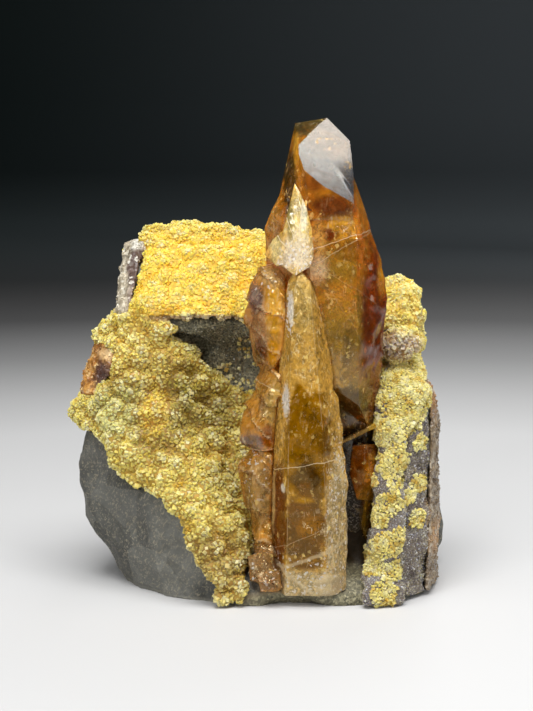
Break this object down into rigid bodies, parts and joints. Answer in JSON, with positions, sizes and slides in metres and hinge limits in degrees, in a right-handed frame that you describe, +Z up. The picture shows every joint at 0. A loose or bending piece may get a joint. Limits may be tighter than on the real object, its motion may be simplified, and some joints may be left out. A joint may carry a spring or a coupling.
{
  "type": "golden barite crystal on matrix",
  "caption": "Tall amber barite crystal cluster standing on a broken block of dark mudstone with crusts of yellow calcite druse.",
  "frame": {"origin": "middle of the footprint's bounding box, on the surface that the specimen stands on", "axes": "+Z up along the tall crystal, +X to the right as seen from the front, -Y towards the viewer"},
  "size_m": [0.0887, 0.0604, 0.1057],
  "materials": {
    "mudstone": "dull fine-grained dark rock with faint tan swirls",
    "barite": "clear to cloudy amber crystal with polished natural faces",
    "yellow_druse": "crust of small sparkling yellow calcite crystals",
    "grey_druse": "fine sparkling purple-grey druse",
    "brown_calcite": "broken brown calcite"
  },
  "bodies": {
    "root": {"mudstone_matrix": "mudstone", "golden_barite": "barite", "yellow_druse_left": "yellow_druse", "yellow_druse_right": "yellow_druse", "yellow_druse_knob": "yellow_druse", "grey_druse_right": "grey_druse", "brown_calcite_left": "brown_calcite", "brown_calcite_upper": "brown_calcite", "brown_calcite_right": "brown_calcite"}
  },
  "joints": []
}
